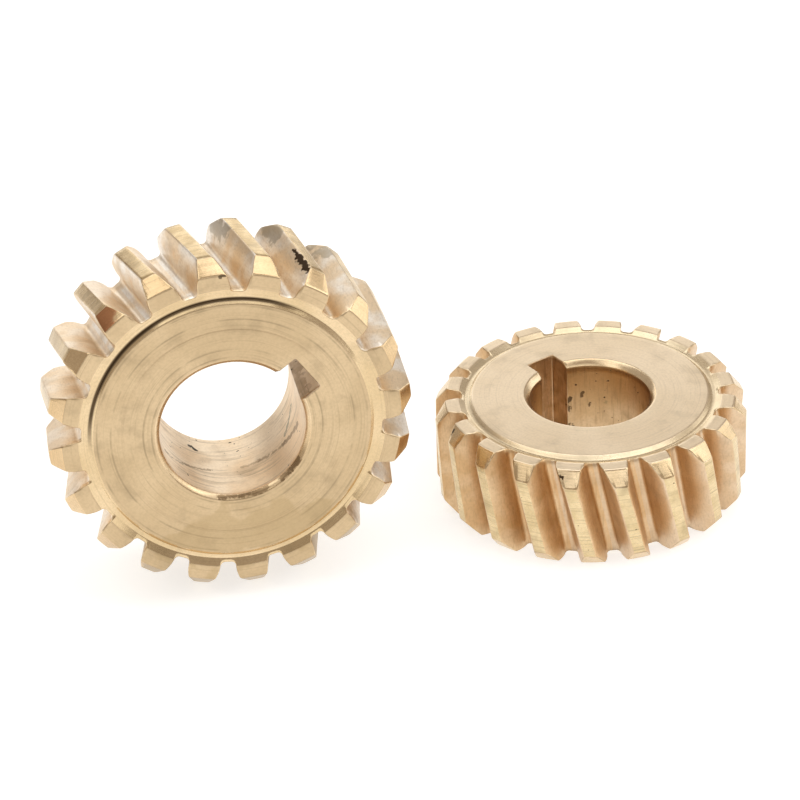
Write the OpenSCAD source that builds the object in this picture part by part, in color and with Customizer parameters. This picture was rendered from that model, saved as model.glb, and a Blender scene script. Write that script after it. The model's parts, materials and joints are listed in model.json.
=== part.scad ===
// Two loose bronze worm wheels with helical teeth and keyed bores.
// The larger wheel stands on its rim and the smaller one lies flat beside it.
// Millimetres, +Z up. The origin is the centre of the pair's footprint, on the
// surface that both wheels rest on. Each wheel is drawn lying on z = 0, and the
// standing wheel is then turned onto its rim, with its upper face to the front.

/* [Tooth system] */
// Teeth on each wheel
teeth = 20; // [18:1:24]
// Helix angle at the pitch circle, in degrees, left hand
helix_angle = 12; // [6:1:16]
// Pressure angle, in degrees
pressure_angle = 20; // [18:1:22]
// Tooth thickness at the pitch circle over half the circular pitch
tooth_fill = 1.14; // [1:0.02:1.16]

/* [Standing wheel] */
// Transverse module of the standing wheel
standing_module = 2.5; // [2.25:0.25:3]
// Width across the faces
standing_width = 19; // [16:1:24]
// Bore diameter
standing_bore = 22; // [16:1:24]
// Keyway width
standing_key_width = 6; // [4:1:8]
// Keyway depth above the bore wall
standing_key_depth = 3.3; // [2:0.1:3.6]
// Chamfer at the front mouth of the bore
standing_bore_chamfer = 0.7; // [0.3:0.1:1.5]
// Direction of the keyway on the front face, in degrees from +X
standing_key_angle = 34; // [0:0.5:359]
// Direction of one tooth on the front face
standing_tooth_angle = 2; // [0:0.1:18]

/* [Flat wheel] */
// Transverse module of the flat wheel
flat_module = 2.25; // [2:0.25:2.75]
// Width across the faces
flat_width = 17; // [14:1:22]
// Bore diameter
flat_bore = 19; // [14:1:20]
// Keyway width
flat_key_width = 5; // [4:1:6]
// Keyway depth above the bore wall
flat_key_depth = 3.4; // [1.8:0.1:3.6]
// Chamfer at the upper mouth of the bore
flat_bore_chamfer = 0.9; // [0.3:0.1:1.5]
// Direction of the keyway on the upper face, in degrees from +X
flat_key_angle = 114.5; // [0:0.5:359]
// Direction of one tooth on the upper face
flat_tooth_angle = 13.8; // [0:0.1:18]

/* [Layout] */
// Distance between the wheels' centres from left to right
spacing_x = 58.3; // [57:0.1:90]
// How far the standing wheel is in front of the flat one
standing_forward = 6.1; // [0:0.1:10]
// How far the standing wheel leans back from upright, in degrees
standing_lean = 4; // [0:0.5:6]

/* [Hidden] */
bronze = "#d2ab74";
// Fineness of turned surfaces
$fn = 96;
// Extra length that cutting shapes run past a face
over = 1;
// Slices along the width of a twisted tooth
tooth_slices = 5;
// Points on one involute flank and on one root fillet
flank_steps = 3;
fillet_steps = 2;
// Radii of the turned relief groove and tip chamfer, as parts of the tip radius
groove_inner = 0.755;
groove_floor = 0.801;
groove_outer = 0.843;
groove_depth = 0.022;
chamfer_inner = 0.925;
chamfer_length = 0.092;
// Chamfer at the bore's other mouth
back_chamfer = 0.5;
// Root depth below the pitch circle and fillet radius, in modules
dedendum = 0.95;
root_fillet = 0.3;

standing_tip = tip_radius(standing_module);
flat_tip = tip_radius(flat_module);
standing_x = -(spacing_x + flat_tip - standing_tip) / 2;
flat_x = standing_x + spacing_x;
// Height at which the leaning wheel's rear tip edge touches the surface
standing_land = standing_width / 2 - chamfer_length * standing_tip;
standing_z = standing_tip * cos(standing_lean) + standing_land * sin(standing_lean);

function tip_radius(m) = m * (teeth + 2) / 2;
function pitch_radius(m) = m * teeth / 2;
function base_radius(m) = pitch_radius(m) * cos(pressure_angle);
function root_radius(m) = pitch_radius(m) - dedendum * m;

// Involute function, in degrees
function involute(a) = tan(a) * 180 / PI - a;

// Half of a tooth's angle at radius r, on the involute flank
function tooth_half_angle(m, r) =
    tooth_fill * 90 / teeth + involute(pressure_angle) - involute(acos(base_radius(m) / r));

// One side of a tooth gap, from the gap's centre line out to past the tip.
// Each entry is [radius, half angle of the gap].
function gap_side(m) =
    let (
        base = base_radius(m),
        root = root_radius(m),
        fillet = root_fillet * m,
        pitch_half = 180 / teeth,
        wall = (pitch_half - tooth_half_angle(m, base)) * PI / 180 * base,
        top = tip_radius(m) + over
    )
    concat(
        [for (i = [0 : fillet_steps])
            let (
                a = 90 * i / fillet_steps,
                r = root + fillet * (1 - cos(a)),
                x = wall - fillet + fillet * sin(a)
            )
            [r, x / r * 180 / PI]],
        [for (i = [0 : flank_steps])
            let (r = base + (top - base) * i / flank_steps)
            [r, pitch_half - tooth_half_angle(m, r)]]
    );

// Cross-section of the toothed rim, with a tooth centred on +X
module tooth_outline(m) {
    side = gap_side(m);
    last = len(side) - 1;
    polygon([
        for (k = [0 : teeth - 1], i = [-last - 1 : last])
            let (
                point = i < 0 ? side[-i - 1] : side[i],
                turn = (k + 0.5) * 360 / teeth + (i < 0 ? -point[1] : point[1])
            )
            point[0] * [cos(turn), sin(turn)]
    ]);
}

// Left-hand helical teeth, with a tooth at tooth_angle on the upper face
module helical_teeth(m, width, tooth_angle) {
    turn_per_mm = tan(helix_angle) / pitch_radius(m) * 180 / PI;
    rotate(tooth_angle + turn_per_mm * (width + over))
        translate([0, 0, -over])
            linear_extrude(
                height = width + 2 * over,
                twist = turn_per_mm * (width + 2 * over),
                slices = tooth_slices
            )
                tooth_outline(m);
}

// Turned blank: bore with chamfered mouths, relief grooves and chamfered rim
module blank(m, width, bore, bore_chamfer) {
    tip = tip_radius(m);
    hole = bore / 2;
    inner = groove_inner * tip;
    floor_edge = groove_floor * tip;
    outer = groove_outer * tip;
    deep = groove_depth * tip;
    rim = chamfer_inner * tip;
    slope = chamfer_length * tip;
    rotate_extrude()
        polygon([
            [hole, back_chamfer],
            [hole + back_chamfer, 0],
            [inner, 0],
            [inner + deep, deep],
            [floor_edge, deep],
            [outer, 0],
            [rim, 0],
            [tip, slope],
            [tip, width - slope],
            [rim, width],
            [outer, width],
            [floor_edge, width - deep],
            [inner + deep, width - deep],
            [inner, width],
            [hole + bore_chamfer, width],
            [hole, width - bore_chamfer]
        ]);
}

// One wheel, lying on z = 0 with its axis on +Z
module worm_wheel(m, width, bore, bore_chamfer, key_width, key_depth, key_angle, tooth_angle) {
    difference() {
        intersection() {
            blank(m, width, bore, bore_chamfer);
            helical_teeth(m, width, tooth_angle);
        }
        rotate(key_angle)
            translate([0, -key_width / 2, -over])
                cube([bore / 2 + key_depth, key_width, width + 2 * over]);
    }
}

module standing_wheel() {
    color(bronze)
        translate([standing_x, -standing_forward, standing_z])
            rotate([90 - standing_lean, 0, 0])
                translate([0, 0, -standing_width / 2])
                    worm_wheel(
                        standing_module, standing_width, standing_bore, standing_bore_chamfer,
                        standing_key_width, standing_key_depth, standing_key_angle,
                        standing_tooth_angle
                    );
}

module flat_wheel() {
    color(bronze)
        translate([flat_x, 0, 0])
            worm_wheel(
                flat_module, flat_width, flat_bore, flat_bore_chamfer,
                flat_key_width, flat_key_depth, flat_key_angle, flat_tooth_angle
            );
}

standing_wheel();
flat_wheel();
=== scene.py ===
"""Two bronze worm wheels: one stands on its rim and one lies flat."""

import json
from dataclasses import dataclass
from math import acos, asin, atan2, cos, hypot, pi, radians, sin, sqrt, tan

import bmesh
import bpy
from mathutils import Matrix, Vector


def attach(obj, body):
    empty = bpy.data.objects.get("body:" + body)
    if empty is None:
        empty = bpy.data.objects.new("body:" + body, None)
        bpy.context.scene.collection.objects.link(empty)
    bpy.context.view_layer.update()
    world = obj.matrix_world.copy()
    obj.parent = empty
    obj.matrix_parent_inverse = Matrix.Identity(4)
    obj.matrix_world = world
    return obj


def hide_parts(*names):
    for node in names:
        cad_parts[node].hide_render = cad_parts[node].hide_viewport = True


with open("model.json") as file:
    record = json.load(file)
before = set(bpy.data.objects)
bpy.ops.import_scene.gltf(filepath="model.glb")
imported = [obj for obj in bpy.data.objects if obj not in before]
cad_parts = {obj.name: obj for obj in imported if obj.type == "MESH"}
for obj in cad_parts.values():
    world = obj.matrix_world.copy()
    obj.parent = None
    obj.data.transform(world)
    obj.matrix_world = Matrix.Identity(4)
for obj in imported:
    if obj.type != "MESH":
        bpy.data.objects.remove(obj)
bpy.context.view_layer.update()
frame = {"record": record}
MOUNTS = {mount["name"]: mount for mount in frame["record"]["mounts"]}
MM = 0.001

# Tooth form, the same on both wheels
TEETH = 20
HELIX = radians(12)
PRESSURE = radians(20)
TOOTH_FILL = 1.14
DEDENDUM = 0.95
ROOT_FILLET = 0.3

# Turned shape of each end, as parts of the tip radius
SCRIBED_RING = 0.611
GROOVE_INNER = 0.755
GROOVE_FLOOR = 0.801
GROOVE_OUTER = 0.843
GROOVE_DEPTH = 0.022
CHAMFER_INNER = 0.925
CHAMFER_LENGTH = 0.092
HUB_START = 0.57

# Small shapes, in metres
BACK_CHAMFER = 0.5 * MM
EDGE = 0.09 * MM
FLAT_MARGIN = 0.3 * MM
TOOTH_EDGE = 0.11 * MM
TIP_CORNER = 0.16 * MM
KEY_FILLET = 0.25 * MM
SCRIBED_HALF = 0.22 * MM
SCRIBED_DEPTH = 0.06 * MM

# A rounded corner has one point in its middle, cut off by this share of the corner's size
CORNER_MIDDLE = 0.3
# A turned edge is cut by no more than this share of the shorter side beside it
SHORT_SIDE_CUT = 0.3
# A flat part of this width or more has a line of its own beside each edge
LEAST_FLAT = 4 * FLAT_MARGIN

# Mesh fineness
FLOOR_STEPS = 3
FILLET_STEPS = 5
FLANK_STEPS = 7
LAND_STEPS = 3
WIDTH_STEPS = 14
BORE_STEPS = 144
KEY_STEPS = 5
LEAST_TURN = 1e-5

# Parts of the surface that have a finish of their own
REGIONS = ("face", "groove", "facet", "land", "lead", "trail", "edge", "bore", "mouth", "keyway")


def polar(radius, angle):
    return Vector((radius * cos(angle), radius * sin(angle)))


def involute(angle):
    return tan(angle) - angle


# ---------------------------------------------------------------- wheel shape


class Wheel:
    """Sizes of one wheel in its own frame: its axis on Z, its visible face towards +Z.

    The module, the keyway and the mouth, its bore chamfer, are given in millimetres, and the
    angles of the keyway and of the first tooth in degrees. Every other size is in metres.
    """

    def __init__(self, node, module, key_width, key_depth, mouth, key_angle, tooth_angle, scribed):
        bore = MOUNTS[node + "_bore"]
        ends = [
            Vector(mount["pos_m"])
            for name, mount in MOUNTS.items()
            if mount["kind"] == "flat_face" and name.startswith(node)
        ]
        self.node = node
        self.centre = Vector(bore["pos_m"])
        self.axis = Vector(bore["axis"]).normalized()
        self.hole = bore["dims"]["r_mm"] * MM
        self.half_width = abs((ends[0] - ends[1]).dot(self.axis)) / 2
        self.module = module * MM
        self.pitch = self.module * TEETH / 2
        self.tip = self.pitch + self.module
        self.base = self.pitch * cos(PRESSURE)
        self.root = self.pitch - DEDENDUM * self.module
        self.twist = tan(HELIX) / self.pitch
        self.key_half = key_width * MM / 2
        self.key_reach = self.hole + key_depth * MM
        self.mouth = mouth * MM
        self.key_angle = radians(key_angle)
        self.tooth_angle = radians(tooth_angle)
        self.scribed = scribed

    def placement(self):
        """Matrix from the wheel's own frame to the row frame."""
        across = Vector((1, 0, 0))
        up = self.axis.cross(across)
        turn = Matrix((across, up, self.axis)).transposed()
        return Matrix.Translation(self.centre) @ turn.to_4x4()

    def half_angle(self, radius):
        """Half of a tooth's angle on its involute flank."""
        thickness = TOOTH_FILL * pi / 2 / TEETH
        return thickness + involute(PRESSURE) - involute(acos(self.base / radius))

    def flank_radii(self):
        """Radii of the points on a flank, with the turned edges among them."""
        last = self.tip - TIP_CORNER
        even = [self.base + (last - self.base) * i / FLANK_STEPS for i in range(FLANK_STEPS + 1)]
        turned = CHAMFER_INNER * self.tip
        return sorted([r for r in even if abs(r - turned) > EDGE] + [turned])

    def half_tooth(self):
        """(radius, angle from the tooth's middle, on the tip) from a gap's middle to a tooth's."""
        gap = pi / TEETH
        fillet = ROOT_FILLET * self.module
        wall = (gap - self.half_angle(self.base)) * self.base
        points = []
        for i in range(FLOOR_STEPS):
            x = (wall - fillet) * i / FLOOR_STEPS
            points.append((self.root, gap - x / self.root, False))
        for i in range(FILLET_STEPS + 1):
            a = pi / 2 * i / FILLET_STEPS
            r = self.root + fillet * (1 - cos(a))
            x = wall - fillet + fillet * sin(a)
            points.append((r, max(gap - x / r, self.half_angle(self.base)), False))
        points += [(r, self.half_angle(r), False) for r in self.flank_radii()]
        tip_half = self.half_angle(self.tip)
        round_off = TIP_CORNER / self.tip
        middle = (self.tip - CORNER_MIDDLE * TIP_CORNER, tip_half - CORNER_MIDDLE * round_off)
        points.append((*middle, False))
        land = tip_half - round_off
        points += [(self.tip, land * (1 - i / LAND_STEPS), True) for i in range(LAND_STEPS + 1)]
        return points

    def outline(self):
        """The whole toothed outline on the visible face, counter-clockwise."""
        half = self.half_tooth()
        columns = []
        for k in range(TEETH):
            middle = self.tooth_angle + 2 * pi * k / TEETH
            columns += [(r, middle - a, tip) for r, a, tip in half]
            columns += [(r, middle + a, tip) for r, a, tip in half[-2:0:-1]]
        return columns

    def end_profile(self):
        """(radius, depth) along an end face, from the hub to the tip, with its corners cut."""
        tip = self.tip
        deep = GROOVE_DEPTH * tip
        corners = [
            (HUB_START * tip, 0),
            (GROOVE_INNER * tip, 0),
            (GROOVE_INNER * tip + deep, deep),
            (GROOVE_FLOOR * tip, deep),
            (GROOVE_OUTER * tip, 0),
            (CHAMFER_INNER * tip, 0),
            (tip, CHAMFER_LENGTH * tip),
        ]
        if self.scribed:
            ring = SCRIBED_RING * tip
            corners[1:1] = [
                (ring - SCRIBED_HALF, 0),
                (ring, SCRIBED_DEPTH),
                (ring + SCRIBED_HALF, 0),
            ]
        points = [corners[0]]
        for before, here, after in zip(corners, corners[1:], corners[2:]):
            shorter = min(hypot(here[0] - p[0], here[1] - p[1]) for p in (before, after))
            cut = min(EDGE, SHORT_SIDE_CUT * shorter)
            if before[0] < here[0] - LEAST_FLAT:
                points.append(towards(here, before, FLAT_MARGIN))
            points += [towards(here, before, cut), towards(here, after, cut)]
            if after[0] > here[0] + LEAST_FLAT:
                points.append(towards(here, after, FLAT_MARGIN))
        return points + [corners[-1]]

    def hole_loop(self, radius, grow):
        """The bore's outline with its keyway at one height, counter-clockwise from the keyway."""
        half = self.key_half + grow
        reach = self.key_reach + grow
        start = asin(half / radius) + EDGE / radius
        points = [
            polar(radius, start + (2 * pi - 2 * start) * i / BORE_STEPS)
            for i in range(BORE_STEPS + 1)
        ]
        near = sqrt(radius**2 - half**2) + EDGE
        far = reach - KEY_FILLET
        wall = [(near + (far - near) * i / KEY_STEPS, half) for i in range(KEY_STEPS + 1)]
        corner = [(reach - CORNER_MIDDLE * KEY_FILLET, half - CORNER_MIDDLE * KEY_FILLET)]
        flat = half - KEY_FILLET
        floor = [(reach, flat * (2 * i / KEY_STEPS - 1)) for i in range(KEY_STEPS + 1)]
        points += [Vector((x, -y)) for x, y in wall + corner]
        points += [Vector(point) for point in floor]
        points += [Vector(point) for point in reversed(wall + corner)]
        spin = Matrix.Rotation(self.key_angle, 2)
        return [spin @ point for point in points]


def towards(point, other, distance):
    """The point that lies a distance from one point towards another."""
    dx, dy = other[0] - point[0], other[1] - point[1]
    share = distance / hypot(dx, dy)
    return (point[0] + dx * share, point[1] + dy * share)


def depth_at(profile, radius):
    """Depth of an end face below its highest plane at a radius."""
    for (r0, d0), (r1, d1) in zip(profile, profile[1:]):
        if radius <= r1:
            return d0 + (d1 - d0) * max(radius - r0, 0) / (r1 - r0)
    return profile[-1][1]


def inset(columns, distance):
    """The outline moved into the material, as (radius, angle)."""
    points = [polar(r, a) for r, a, _ in columns]
    moved = []
    for i, point in enumerate(points):
        along = points[(i + 1) % len(points)] - points[i - 1]
        outward = Vector((along.y, -along.x)).normalized()
        inner = point - distance * outward
        angle = columns[i][1]
        swing = atan2(inner.y, inner.x) - angle
        turned = angle + (swing + pi) % (2 * pi) - pi
        if moved:
            turned = max(turned, moved[-1][1] + LEAST_TURN)
        moved.append((inner.length, turned))
    return moved


class Shell:
    """Points and faces of a mesh as it is built, each face with its region."""

    def __init__(self):
        self.points = []
        self.faces = []
        self.regions = []

    def point(self, radius, angle, z):
        flat = polar(radius, angle)
        self.points.append((flat.x, flat.y, z))
        return len(self.points) - 1

    def face(self, corners, region):
        """Adds a face, without the corners that have run together."""
        kept = [c for i, c in enumerate(corners) if c != corners[i - 1]]
        if len(kept) > 2:
            self.faces.append(kept)
            self.regions.append(REGIONS.index(region))

    def strips(self, loops, region_of):
        """Joins closed loops of points, one after the other."""
        for row, (near, far) in enumerate(zip(loops, loops[1:])):
            count = len(near)
            for i in range(count):
                j = (i + 1) % count
                self.face([near[i], near[j], far[j], far[i]], region_of(row, i))

    def flat_ring(self, inner, outer, region):
        """Fills a flat ring between two loops that may differ in their number of points."""
        loops = []
        for loop in (inner, outer):
            turns = [(atan2(self.points[i][1], self.points[i][0]), i) for i in loop]
            loops.append(sorted(turns))
        a, b = loops
        i = j = 0
        while i < len(a) or j < len(b):
            next_a = a[(i + 1) % len(a)][0] + 2 * pi * ((i + 1) // len(a))
            next_b = b[(j + 1) % len(b)][0] + 2 * pi * ((j + 1) // len(b))
            here_a, here_b = a[i % len(a)][1], b[j % len(b)][1]
            if j >= len(b) or (i < len(a) and next_a < next_b):
                i += 1
                self.face([here_a, here_b, a[i % len(a)][1]], region)
            else:
                j += 1
                self.face([here_a, here_b, b[j % len(b)][1]], region)


def rim_loops(wheel, shell):
    """Loops of points from the hub of the visible face, over the teeth, to the other hub."""
    profile = wheel.end_profile()
    columns = wheel.outline()
    inner = inset(columns, TOOTH_EDGE)
    half = wheel.half_width
    sequences = []
    for (radius, angle, _), (inner_radius, inner_angle) in zip(columns, inner):
        tooth_end = depth_at(profile, radius) + TOOTH_EDGE
        rim_end = depth_at(profile, inner_radius)
        sequence = []
        for side in (1, -1):
            ids = []
            rim_z = side * (half - rim_end)
            rim = shell.point(inner_radius, inner_angle + wheel.twist * (half - rim_z), rim_z)
            for r, depth in profile:
                z = side * (half - depth)
                turn = wheel.twist * (half - z)
                inside = r < inner_radius
                ids.append(shell.point(r, inner_angle + turn, z) if inside else rim)
            sequence.append(ids + [rim])
        reach = half - tooth_end
        width = []
        for i in range(WIDTH_STEPS + 1):
            z = reach * (1 - 2 * i / WIDTH_STEPS)
            width.append(shell.point(radius, angle + wheel.twist * (half - z), z))
        sequences.append(sequence[0] + width + sequence[1][::-1])
    loops = [list(loop) for loop in zip(*sequences)]
    return loops, profile, columns


def rim_region(wheel, profile, columns):
    """A function of (row, column) that names the region of a face of the toothed rim."""
    rows = len(profile)
    last = 2 * rows + WIDTH_STEPS + 1
    per_tooth = len(columns) // TEETH

    def end_region(row):
        middle = (profile[row][0] + profile[row + 1][0]) / 2 / wheel.tip
        if middle < GROOVE_INNER or GROOVE_OUTER < middle < CHAMFER_INNER:
            return "face"
        return "groove" if middle < GROOVE_OUTER else "facet"

    def region(row, column):
        row = min(row, last - row)
        if row < rows - 1:
            return end_region(row)
        if row < rows + 1:
            return "edge"
        on_tip = columns[column][2] and columns[(column + 1) % len(columns)][2]
        if on_tip:
            return "land"
        return "lead" if column % per_tooth < per_tooth / 2 else "trail"

    return region


def bore_loops(wheel, shell):
    """Loops of points down the bore and its keyway, from the visible face to the other."""
    half = wheel.half_width
    front, back = wheel.mouth, BACK_CHAMFER
    levels = [
        (front + FLAT_MARGIN, 0, FLAT_MARGIN),
        (front + EDGE, 0, EDGE),
        (front - EDGE, EDGE, 0),
        (EDGE, front - EDGE, 0),
        (0, front + EDGE, 0),
    ]
    deep = 2 * half
    steps = WIDTH_STEPS
    start, end = front + EDGE, deep - back - EDGE
    levels += [(0, start + (end - start) * i / steps, 0) for i in range(1, steps)]
    levels += [
        (0, end, 0),
        (EDGE, deep - back + EDGE, 0),
        (back - EDGE, deep - EDGE, 0),
        (back + EDGE, deep, EDGE),
        (back + FLAT_MARGIN, deep, FLAT_MARGIN),
    ]
    loops = []
    for wider, depth, grow in levels:
        outline = wheel.hole_loop(wheel.hole + wider, grow)
        loops.append([shell.point(p.length, atan2(p.y, p.x), half - depth) for p in outline])
    last = len(levels) - 2
    first_wall_row = 3

    def region(row, column):
        row = min(row, last - row)
        if row == 0:
            return "face"
        if column >= BORE_STEPS:
            return "keyway"
        return "mouth" if row < first_wall_row else "bore"

    return loops, region


def wheel_mesh(wheel):
    """The wheel as one closed mesh in its own frame."""
    shell = Shell()
    rim, profile, columns = rim_loops(wheel, shell)
    bore, bore_region = bore_loops(wheel, shell)
    shell.strips(rim, rim_region(wheel, profile, columns))
    shell.strips(bore, bore_region)
    shell.flat_ring(bore[0], rim[0], "face")
    shell.flat_ring(bore[-1], rim[-1], "face")
    mesh = bpy.data.meshes.new(wheel.node + "_turned")
    mesh.from_pydata(shell.points, [], shell.faces)
    mesh.polygons.foreach_set("material_index", shell.regions)
    mesh.polygons.foreach_set("use_smooth", [True] * len(shell.faces))
    tidy = bmesh.new()
    tidy.from_mesh(mesh)
    loose = [v for v in tidy.verts if not v.link_faces]
    bmesh.ops.delete(tidy, geom=loose, context="VERTS")
    bmesh.ops.recalc_face_normals(tidy, faces=tidy.faces)
    tidy.to_mesh(mesh)
    tidy.free()
    return mesh


# ------------------------------------------------------------------ materials


@dataclass
class Finish:
    """How one region of the bronze looks.

    marks says which way the tool marks run, "turned" round the axis or "along" it. pitch is their
    spacing, depth their height and contrast how dark they are. patch is the size of the uneven
    patches of colour. stain and pits say how much of each there is, from 0 to 1. corner_shade
    is how much painted shade darkens the groove's inner corner, from 0 to 1, and dirt_angle the
    side of the wheel, in degrees, where that painted shade lies. rings are the radii of faint
    scratched rings, as parts of the tip radius. Lengths are in metres.
    """

    colour: tuple
    shade: tuple
    roughness: float
    marks: str
    pitch: float
    depth: float
    stain: float = 0.2
    pits: float = 0.0
    contrast: float = 0.25
    patch: float = 11 * MM
    # Painted shade in the groove's inner corner, and the side of the wheel where it lies
    corner_shade: float = 0.0
    dirt_angle: float = 0.0
    rings: tuple = ()


@dataclass
class Blemish:
    """A ragged mark of another colour, from one place in the wheel's frame to another.

    The places and size, its half-width, are in millimetres. Most are marks on the bronze, and a
    few are painted shade.
    """

    region: str
    start: tuple
    end: tuple
    size: float
    colour: tuple
    strength: float = 1.0


DARK = (0.06, 0.036, 0.018)

# Waves per metre of the noises that every bronze has
SMUDGE_SCALE = 260
GRAIN_SCALE = 2600
PIT_SCALE = 1500

# The grain's height in metres, and the most it darkens the colour
GRAIN_DEPTH = 0.003 * MM
GRAIN_SHADE = 0.22
# A pit's height, as parts of the tool marks' height
PIT_DEPTH = -3.0
# How much smudges and tool marks change the roughness
SMUDGE_ROUGHNESS = 0.16
MARK_ROUGHNESS = 0.1
# How many times longer than wide a mark along the tooth is
ALONG_STRETCH = 14
# How often a turned mark breaks off on its way round
TURNED_BREAKS = 1.6
# How far noise moves a blemish's outline, in half-widths
RAGGEDNESS = 4.0


def dimmed(colour, share):
    """The same colour with only a share of its light."""
    return tuple(share * c for c in colour)


class Graph:
    """Short calls for wiring one material's nodes."""

    def __init__(self, material):
        self.tree = material.node_tree
        self.shader = self.tree.nodes["Principled BSDF"]

    def link(self, value, socket):
        if isinstance(value, bpy.types.NodeSocket):
            self.tree.links.new(value, socket)
        else:
            socket.default_value = value

    def math(self, operation, *values):
        node = self.tree.nodes.new("ShaderNodeMath")
        node.operation = operation
        for value, socket in zip(values, node.inputs):
            self.link(value, socket)
        return node.outputs[0]

    def vector_math(self, operation, *vectors, scale=1.0):
        node = self.tree.nodes.new("ShaderNodeVectorMath")
        node.operation = operation
        for value, socket in zip(vectors, node.inputs):
            self.link(value, socket)
        if operation == "SCALE":
            self.link(scale, node.inputs["Scale"])
        return node.outputs["Value" if operation in ("DOT_PRODUCT", "DISTANCE") else "Vector"]

    def vector(self, x, y, z):
        node = self.tree.nodes.new("ShaderNodeCombineXYZ")
        for value, socket in zip((x, y, z), node.inputs):
            self.link(value, socket)
        return node.outputs[0]

    def noise(self, vector, scale=1.0, detail=2.0, w=None):
        node = self.tree.nodes.new("ShaderNodeTexNoise")
        if w is not None:
            node.noise_dimensions = "4D"
            self.link(w, node.inputs["W"])
        self.link(vector, node.inputs["Vector"])
        node.inputs["Scale"].default_value = scale
        node.inputs["Detail"].default_value = detail
        return node.outputs["Fac"]

    def step(self, value, low, high, kind="SMOOTHSTEP"):
        """0 below low and 1 above high, with a smooth change between."""
        node = self.tree.nodes.new("ShaderNodeMapRange")
        node.interpolation_type = kind
        self.link(value, node.inputs["Value"])
        node.inputs["From Min"].default_value = low
        node.inputs["From Max"].default_value = high
        return node.outputs["Result"]

    def mix(self, factor, a, b):
        node = self.tree.nodes.new("ShaderNodeMix")
        node.data_type = "RGBA"
        self.link(factor, node.inputs["Factor"])
        for value, socket in zip((a, b), (node.inputs[6], node.inputs[7])):
            self.link(value if isinstance(value, bpy.types.NodeSocket) else (*value, 1), socket)
        return node.outputs[2]

    def bump(self, height, distance, normal=None):
        node = self.tree.nodes.new("ShaderNodeBump")
        node.inputs["Strength"].default_value = 1.0
        node.inputs["Distance"].default_value = distance
        self.link(height, node.inputs["Height"])
        if normal is not None:
            self.link(normal, node.inputs["Normal"])
        return node.outputs["Normal"]


def tool_marks(graph, finish, place):
    """Noise that is drawn out along the tool's path, and the distance from the axis."""
    split = graph.tree.nodes.new("ShaderNodeSeparateXYZ")
    graph.link(place, split.inputs[0])
    x, y, z = split.outputs
    squares = [graph.math("POWER", side, 2.0) for side in (x, y)]
    radius = graph.math("SQRT", graph.math("ADD", *squares))
    per_metre = 1 / finish.pitch
    if finish.marks == "along":
        across = graph.vector(
            graph.math("MULTIPLY", x, per_metre),
            graph.math("MULTIPLY", y, per_metre),
            graph.math("MULTIPLY", z, per_metre / ALONG_STRETCH),
        )
        return graph.noise(across, detail=3), radius
    path = graph.vector(
        graph.math("MULTIPLY", radius, per_metre),
        graph.math("MULTIPLY", graph.math("DIVIDE", x, radius), TURNED_BREAKS),
        graph.math("MULTIPLY", graph.math("DIVIDE", y, radius), TURNED_BREAKS),
    )
    return graph.noise(path, detail=3, w=graph.math("MULTIPLY", z, per_metre)), radius


def add_blemish(graph, tone, blemish, place):
    """Lays one blemish over the colour so far."""
    ragged = graph.noise(place, scale=0.8 / (MM * blemish.size), detail=4)
    start = MM * Vector(blemish.start)
    run = MM * Vector(blemish.end) - start
    share = 0.0
    if run.length > 0:
        offset = graph.vector_math("SUBTRACT", place, start)
        share = graph.vector_math("DOT_PRODUCT", offset, run / run.length_squared)
        share = graph.step(share, 0.0, 1.0, "LINEAR")
    along = graph.vector_math("SCALE", run, scale=share)
    nearest = graph.vector_math("ADD", along, start)
    away = graph.vector_math("DISTANCE", place, nearest)
    reach = graph.math("MULTIPLY_ADD", away, 1 / (MM * blemish.size), -1.0)
    reach = graph.math("ADD", reach, -RAGGEDNESS / 2)
    reach = graph.math("MULTIPLY_ADD", ragged, RAGGEDNESS, reach)
    cover = graph.step(reach, 0.3, -0.2)
    return graph.mix(graph.math("MULTIPLY", cover, blemish.strength), tone, blemish.colour)


def uneven_tone(graph, finish, marks, smudge, grain, place):
    """Patches of two colours, with grain, tool marks and stains over them."""
    cloud = graph.noise(place, scale=1 / finish.patch, detail=3)
    tone = graph.mix(graph.step(cloud, 0.38, 0.62), finish.colour, finish.shade)
    speckle = graph.math("MULTIPLY", graph.step(grain, 0.35, 0.7), GRAIN_SHADE)
    tone = graph.mix(speckle, tone, dimmed(finish.shade, 0.7))
    lined = graph.math("MULTIPLY", graph.step(marks, 0.5, 0.72), finish.contrast)
    tone = graph.mix(lined, tone, dimmed(finish.shade, 0.55))
    stained = graph.math("MULTIPLY", graph.step(smudge, 0.52, 0.74), finish.stain)
    return graph.mix(stained, tone, dimmed(finish.shade, 0.4))


def add_corner_shade(graph, tone, finish, place, radius, tip):
    """Painted shade in the groove's inner corner, on the side of the wheel that the finish names.
    """
    corner = (GROOVE_INNER + GROOVE_DEPTH) * tip
    off = graph.math("ABSOLUTE", graph.math("SUBTRACT", radius, corner))
    side = radians(finish.dirt_angle)
    facing = graph.vector_math("DOT_PRODUCT", place, Vector((cos(side), sin(side), 0)))
    near = graph.step(graph.math("DIVIDE", facing, radius), 0.4, 0.7)
    shaded = graph.math("MULTIPLY", graph.step(off, 0.42 * MM, 0.12 * MM), finish.corner_shade)
    return graph.mix(graph.math("MULTIPLY", shaded, near), tone, DARK)


def add_ring(graph, tone, finish, smudge, radius, ring):
    """A faint and broken scratched ring of one radius."""
    off = graph.math("ABSOLUTE", graph.math("SUBTRACT", radius, ring))
    broken = graph.math("MULTIPLY", graph.step(smudge, 0.36, 0.6), 0.5)
    line = graph.math("MULTIPLY", graph.step(off, 0.2 * MM, 0.05 * MM), broken)
    return graph.mix(line, tone, dimmed(finish.shade, 0.5))


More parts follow.
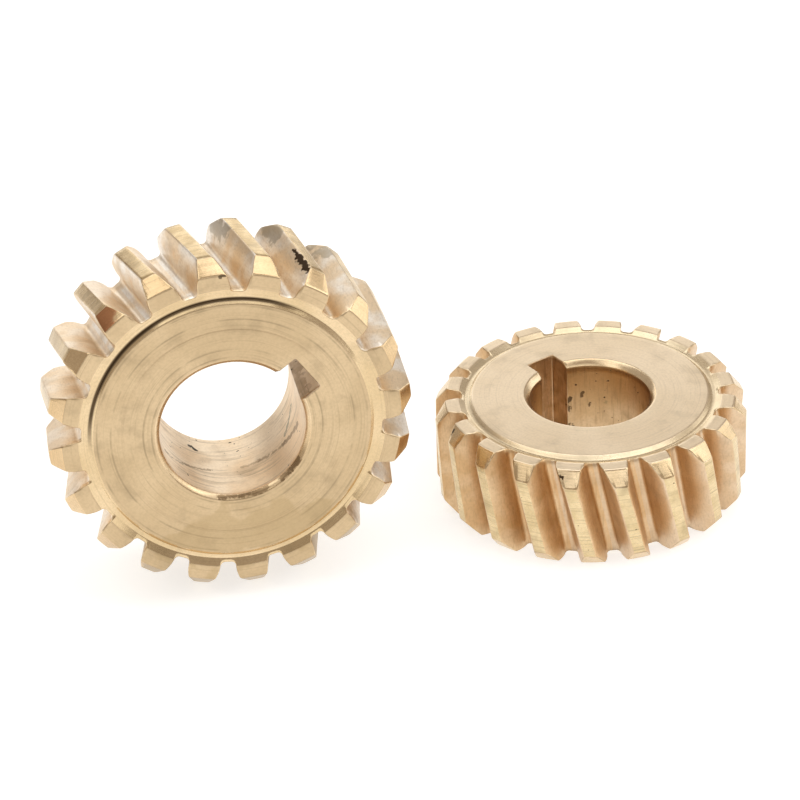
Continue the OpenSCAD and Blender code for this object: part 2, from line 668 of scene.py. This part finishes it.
def bronze(name, finish, blemishes, tip):
    """Machined bronze with tool marks, uneven tone, stains and pits, on a wheel of a tip radius."""
    material = bpy.data.materials.new(name)
    material.use_nodes = True
    graph = Graph(material)
    place = graph.tree.nodes.new("ShaderNodeTexCoord").outputs["Object"]
    marks, radius = tool_marks(graph, finish, place)
    smudge = graph.noise(place, scale=SMUDGE_SCALE, detail=5)
    grain = graph.noise(place, scale=GRAIN_SCALE, detail=2)

    tone = uneven_tone(graph, finish, marks, smudge, grain, place)
    # Painted shade in the groove's inner corner
    if finish.corner_shade > 0:
        tone = add_corner_shade(graph, tone, finish, place, radius, tip)
    for ring in finish.rings:
        tone = add_ring(graph, tone, finish, smudge, radius, ring * tip)
    height = marks
    if finish.pits > 0:
        holes = graph.noise(place, scale=PIT_SCALE, detail=1)
        pitted = graph.step(holes, 0.8 - finish.pits, 0.84 - finish.pits)
        tone = graph.mix(pitted, tone, DARK)
        height = graph.math("MULTIPLY_ADD", pitted, PIT_DEPTH, marks)
    for blemish in blemishes:
        tone = add_blemish(graph, tone, blemish, place)

    # Noise averages a half, so half of each share is taken off first
    smoothest = finish.roughness - (SMUDGE_ROUGHNESS + MARK_ROUGHNESS) / 2
    rough = graph.math("MULTIPLY_ADD", smudge, SMUDGE_ROUGHNESS, smoothest)
    rough = graph.math("MULTIPLY_ADD", marks, MARK_ROUGHNESS, rough)
    normal = graph.bump(grain, GRAIN_DEPTH)
    normal = graph.bump(height, finish.depth, normal=normal)
    graph.link(tone, graph.shader.inputs["Base Color"])
    graph.link(rough, graph.shader.inputs["Roughness"])
    graph.link(normal, graph.shader.inputs["Normal"])
    graph.shader.inputs["Metallic"].default_value = 1.0
    return material


STANDING_FINISH = {
    "face": Finish(
        colour=(0.67, 0.51, 0.315), shade=(0.6, 0.45, 0.27), roughness=0.34,
        marks="turned", pitch=0.16 * MM, depth=0.008 * MM,
        stain=0.25, contrast=0.3,
        rings=(0.443, 0.49, 0.665, 0.74),
    ),
    "groove": Finish(
        colour=(0.8, 0.62, 0.39), shade=(0.7, 0.53, 0.31), roughness=0.16,
        marks="turned", pitch=0.2 * MM, depth=0.004 * MM,
        # Painted shade darkens the groove's inner corner on this side
        corner_shade=0.95, dirt_angle=118,
    ),
    "facet": Finish(
        colour=(0.8, 0.6, 0.36), shade=(0.7, 0.5, 0.28), roughness=0.22,
        marks="turned", pitch=0.22 * MM, depth=0.01 * MM,
        stain=0.15,
    ),
    "land": Finish(
        colour=(0.78, 0.6, 0.35), shade=(0.6, 0.44, 0.23), roughness=0.27,
        marks="turned", pitch=0.2 * MM, depth=0.01 * MM,
        stain=0.35, contrast=0.5, patch=3 * MM,
    ),
    # The lead and trail flanks are the same bronze; their colours differ as painted light and
    # shade, the trail flanks painted paler
    "lead": Finish(
        colour=(0.92, 0.79, 0.63), shade=(0.85, 0.66, 0.44), roughness=0.42,
        marks="along", pitch=0.22 * MM, depth=0.008 * MM,
        patch=5 * MM,
    ),
    "trail": Finish(
        colour=(0.95, 0.89, 0.81), shade=(0.83, 0.66, 0.46), roughness=0.42,
        marks="along", pitch=0.22 * MM, depth=0.01 * MM,
        patch=5 * MM,
    ),
    "edge": Finish(
        colour=(0.88, 0.71, 0.47), shade=(0.66, 0.48, 0.28), roughness=0.3,
        marks="along", pitch=0.3 * MM, depth=0.004 * MM,
        stain=0.4, patch=1.8 * MM,
    ),
    "bore": Finish(
        colour=(0.92, 0.77, 0.58), shade=(0.85, 0.65, 0.43), roughness=0.46,
        marks="turned", pitch=0.42 * MM, depth=0.01 * MM,
        stain=0.25, pits=0.05, contrast=0.6,
    ),
    "mouth": Finish(
        colour=(0.8, 0.62, 0.4), shade=(0.7, 0.52, 0.31), roughness=0.28,
        marks="turned", pitch=0.2 * MM, depth=0.008 * MM,
        contrast=0.6,
    ),
    "keyway": Finish(
        colour=(0.66, 0.51, 0.36), shade=(0.48, 0.35, 0.22), roughness=0.42,
        marks="along", pitch=0.3 * MM, depth=0.014 * MM,
        stain=0.5, pits=0.1, contrast=0.5, patch=2 * MM,
    ),
}

FLAT_FINISH = {
    "face": Finish(
        colour=(0.84, 0.69, 0.5), shade=(0.79, 0.64, 0.45), roughness=0.34,
        marks="turned", pitch=0.16 * MM, depth=0.007 * MM,
    ),
    "groove": Finish(
        colour=(0.84, 0.7, 0.49), shade=(0.78, 0.63, 0.42), roughness=0.28,
        marks="turned", pitch=0.2 * MM, depth=0.005 * MM,
        # Painted shade darkens the groove's inner corner on this side
        corner_shade=0.15, dirt_angle=200,
    ),
    "facet": Finish(
        colour=(0.82, 0.64, 0.41), shade=(0.72, 0.54, 0.32), roughness=0.22,
        marks="turned", pitch=0.22 * MM, depth=0.01 * MM,
    ),
    "land": Finish(
        colour=(0.79, 0.63, 0.38), shade=(0.68, 0.53, 0.3), roughness=0.28,
        marks="turned", pitch=0.24 * MM, depth=0.016 * MM,
        stain=0.4, pits=0.03, contrast=0.6, patch=3 * MM,
    ),
    # The lead and trail flanks are the same bronze; their colours differ as painted light and shade
    "lead": Finish(
        colour=(0.77, 0.6, 0.42), shade=(0.7, 0.51, 0.32), roughness=0.42,
        marks="along", pitch=0.22 * MM, depth=0.008 * MM,
        patch=5 * MM,
    ),
    "trail": Finish(
        colour=(0.8, 0.58, 0.35), shade=(0.7, 0.46, 0.24), roughness=0.44,
        marks="along", pitch=0.22 * MM, depth=0.01 * MM,
        patch=5 * MM,
    ),
    "edge": Finish(
        colour=(0.86, 0.69, 0.46), shade=(0.58, 0.41, 0.23), roughness=0.3,
        marks="along", pitch=0.3 * MM, depth=0.004 * MM,
        # The edge stains are partly real wear and partly painted shadow from burrs along the edges
        stain=0.5, patch=1.8 * MM,
    ),
    "bore": Finish(
        colour=(0.71, 0.51, 0.3), shade=(0.58, 0.38, 0.19), roughness=0.32,
        marks="along", pitch=0.3 * MM, depth=0.01 * MM,
        stain=0.35, pits=0.08, contrast=0.4,
    ),
    "mouth": Finish(
        colour=(0.84, 0.67, 0.45), shade=(0.74, 0.56, 0.35), roughness=0.26,
        marks="turned", pitch=0.2 * MM, depth=0.005 * MM,
    ),
    "keyway": Finish(
        colour=(0.8, 0.58, 0.36), shade=(0.6, 0.4, 0.22), roughness=0.4,
        marks="along", pitch=0.24 * MM, depth=0.014 * MM,
        stain=0.4, pits=0.05, contrast=0.6, patch=3 * MM,
    ),
}

COPPER = (0.45, 0.21, 0.1)
# An oil stain colour, also laid on as painted shade on the bottom teeth
OIL_AND_SHADE = (0.42, 0.3, 0.15)
PALE = (0.78, 0.63, 0.45)
GREY = (0.36, 0.3, 0.21)
BROWN = (0.26, 0.17, 0.09)

# Each blemish: region, one end, the other end, half-width, colour and strength
STANDING_BLEMISHES = [
    Blemish("trail", (12.3, 24.1, 0.9), (12.7, 23.9, 3.2), 0.28, DARK),
    Blemish("trail", (12.7, 23.9, 3.2), (13.4, 23.4, 7.1), 0.55, DARK),
    Blemish("trail", (9.3, 24.9, -8.5), (10.3, 24.6, -5), 1.3, GREY, 0.6),
    Blemish("trail", (16.5, 20.8, -8.5), (17.5, 20.2, -5.5), 1.3, GREY, 0.6),
    Blemish("trail", (1.6, 26.6, -8), (2.9, 26.4, -4), 1.3, GREY, 0.6),
    Blemish("land", (-25.2, 11, 4), (-25.2, 11, -7), 5, OIL_AND_SHADE, 0.5),
    Blemish("face", (0.3, 25.3, 9.5), (0.9, 25.4, 9.5), 0.25, DARK, 0.8),
    # Darker towards the bottom of the face
    Blemish("face", (-9, -18, 9.5), (11, -17, 9.5), 3.5, OIL_AND_SHADE, 0.4),
    # Painted shade on the bottom teeth's facets and flanks, where they face the floor under the
    # wheel
    Blemish("facet", (-13, -23, 8), (13, -23, 8), 5, OIL_AND_SHADE, 0.85),
    Blemish("lead", (-13, -23, 5), (13, -23, 5), 6, OIL_AND_SHADE, 0.85),
    Blemish("trail", (-13, -23, 5), (13, -23, 5), 6, OIL_AND_SHADE, 0.85),
    Blemish("facet", (-17.8, 20.2, 7.5), (-16.8, 21.4, 7.5), 3, COPPER),
    Blemish("bore", (-5.7, -9.4, -5.4), (-4.9, -9.9, -4.6), 0.35, DARK),
    Blemish("bore", (-10.2, -4.2, 4.6), (-7, -8.5, 2.3), 0.32, BROWN, 0.6),
    Blemish("bore", (-7, -8.5, 2.3), (-3.5, -10.4, 1.4), 0.3, BROWN, 0.6),
    Blemish("bore", (10.3, -4, 2.9), (8.3, -7.2, 1.8), 0.5, BROWN, 0.7),
    Blemish("bore", (8.3, -7.2, 1.8), (4.3, -10.1, 1), 0.38, BROWN, 0.55),
    Blemish("bore", (4.3, -10.1, 1), (1.5, -10.9, 1), 0.3, BROWN, 0.4),
    Blemish("bore", (10.3, -3.9, -3.5), (8.6, -6.9, 0.1), 0.3, GREY, 0.8),
    Blemish("mouth", (-2.9, -11, 9.2), (3.9, -10.7, 9.2), 0.6, BROWN, 0.85),
    Blemish("mouth", (6.5, -9.3, 9.2), (9.3, -6.5, 9.2), 0.5, BROWN, 0.85),
    Blemish("keyway", (13.1, 5.1, 9), (12.7, 5, 2), 1.1, PALE, 0.8),
]

FLAT_BLEMISHES = [
    Blemish("facet", (-10, -21.4, 7.6), (-9.7, -21.6, 7.5), 0.25, DARK),
    Blemish("facet", (-23.6, -4.9, 7.4), (-22.9, -4.5, 7.8), 0.2, DARK),
    Blemish("lead", (-20.2, -7.8, 5.5), (-20.1, -7.9, 5), 0.3, DARK),
    Blemish("bore", (-1.4, 9.4, 1.2), (-1.2, 9.4, 1.9), 0.45, DARK, 0.85),
    Blemish("bore", (-1.3, 9.4, -0.2), (-1.2, 9.4, 0.2), 0.3, DARK, 0.8),
    Blemish("bore", (0.9, 9.4, 2), (1, 9.4, 2.6), 0.3, DARK, 0.8),
    Blemish("bore", (2.1, 9.2, 0.2), (2.2, 9.2, 0.6), 0.2, DARK, 0.8),
    Blemish("bore", (4.6, 8.3, 0.8), (4.7, 8.3, 1), 0.25, OIL_AND_SHADE, 0.9),
    Blemish("bore", (-1.9, 9.3, -6), (-1, 9.4, -3.5), 0.5, DARK, 0.85),
]


# --------------------------------------------------------------------- pieces


def build_wheel(wheel, finishes, blemishes):
    """Builds a wheel's finished surface in place of its CAD node."""
    piece = bpy.data.objects.new(wheel.node + "_finished", wheel_mesh(wheel))
    bpy.context.scene.collection.objects.link(piece)
    for region in REGIONS:
        marked = [b for b in blemishes if b.region == region]
        name = f"{wheel.node}_{region}"
        piece.data.materials.append(bronze(name, finishes[region], marked, wheel.tip))
    piece.matrix_world = wheel.placement()
    normals = piece.modifiers.new("face_normals", "WEIGHTED_NORMAL")
    normals.weight = 50
    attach(piece, wheel.node)
    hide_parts(wheel.node)


build_wheel(
    Wheel(
        "standing_wheel", module=2.5, key_width=6, key_depth=3.3, mouth=0.7,
        key_angle=34, tooth_angle=2, scribed=True,
    ),
    STANDING_FINISH,
    STANDING_BLEMISHES,
)
build_wheel(
    Wheel(
        "flat_wheel", module=2.25, key_width=5, key_depth=3.4, mouth=0.9,
        key_angle=114.5, tooth_angle=13.8, scribed=False,
    ),
    FLAT_FINISH,
    FLAT_BLEMISHES,
)


# ------------------------------------------------------- floor, light, camera


def make_floor():
    """A pale floor that glows a little, as a light table does."""
    half = 3.0
    corners = [(-half, -half, 0), (half, -half, 0), (half, half, 0), (-half, half, 0)]
    mesh = bpy.data.meshes.new("floor")
    mesh.from_pydata(corners, [], [(0, 1, 2, 3)])
    floor = bpy.data.objects.new("floor", mesh)
    bpy.context.scene.collection.objects.link(floor)
    material = bpy.data.materials.new("pale_floor")
    material.use_nodes = True
    shader = material.node_tree.nodes["Principled BSDF"]
    shader.inputs["Base Color"].default_value = (0.55, 0.55, 0.55, 1)
    shader.inputs["Roughness"].default_value = 0.9
    shader.inputs["Specular IOR Level"].default_value = 0.1
    shader.inputs["Emission Color"].default_value = (1, 0.99, 0.97, 1)
    shader.inputs["Emission Strength"].default_value = 0.68
    mesh.materials.append(material)


def soft_box(name, place, size, radiance, colour):
    """A rectangular softbox that faces the wheels."""
    lamp = bpy.data.lights.new(name, "AREA")
    lamp.shape = "RECTANGLE"
    lamp.size, lamp.size_y = size
    lamp.energy = radiance * pi * size[0] * size[1]
    lamp.color = colour
    holder = bpy.data.objects.new(name, lamp)
    holder.location = place
    holder.rotation_euler = Vector(place).to_track_quat("Z", "Y").to_euler()
    bpy.context.scene.collection.objects.link(holder)


def light_the_set():
    """Soft boxes all round, in a warm and dim room."""
    world = bpy.data.worlds.new("room")
    world.use_nodes = True
    background = world.node_tree.nodes["Background"]
    background.inputs["Color"].default_value = (1, 0.88, 0.76, 1)
    background.inputs["Strength"].default_value = 0.46
    bpy.context.scene.world = world
    cool = (0.94, 0.98, 1.0)
    soft_box("overhead", (0.05, 0.12, 0.8), (1.15, 0.6), 1.4, cool)
    soft_box("right", (0.8, 0.0, 0.3), (0.9, 0.5), 1.1, cool)
    soft_box("right_high", (0.56, -0.3, 0.57), (0.4, 0.35), 1.65, cool)
    soft_box("back", (0.06, 0.9, 0.32), (0.8, 0.5), 1.1, cool)
    soft_box("left_high", (-0.45, -0.25, 0.69), (0.36, 0.5), 1.3, cool)
    soft_box("front", (0.0, -0.75, 0.66), (1.0, 0.24), 1.05, cool)


def place_camera():
    """The camera looks down on the wheels from the front left, and is rolled a little."""
    place = (-0.058993, -0.369983, 0.248157)
    heading, down, roll = radians(9.064), radians(31.3), radians(3.13)
    lens = bpy.data.cameras.new("camera")
    lens.sensor_width = 36
    lens.lens = 126.1
    lens.clip_start = 0.01
    camera = bpy.data.objects.new("camera", lens)
    turn = (
        Matrix.Rotation(-heading, 4, "Z")
        @ Matrix.Rotation(pi / 2 - down, 4, "X")
        @ Matrix.Rotation(-roll, 4, "Z")
    )
    camera.matrix_world = Matrix.Translation(place) @ turn
    bpy.context.scene.collection.objects.link(camera)
    bpy.context.scene.camera = camera


make_floor()
light_the_set()
place_camera()
bpy.context.scene.view_settings.view_transform = "Standard"
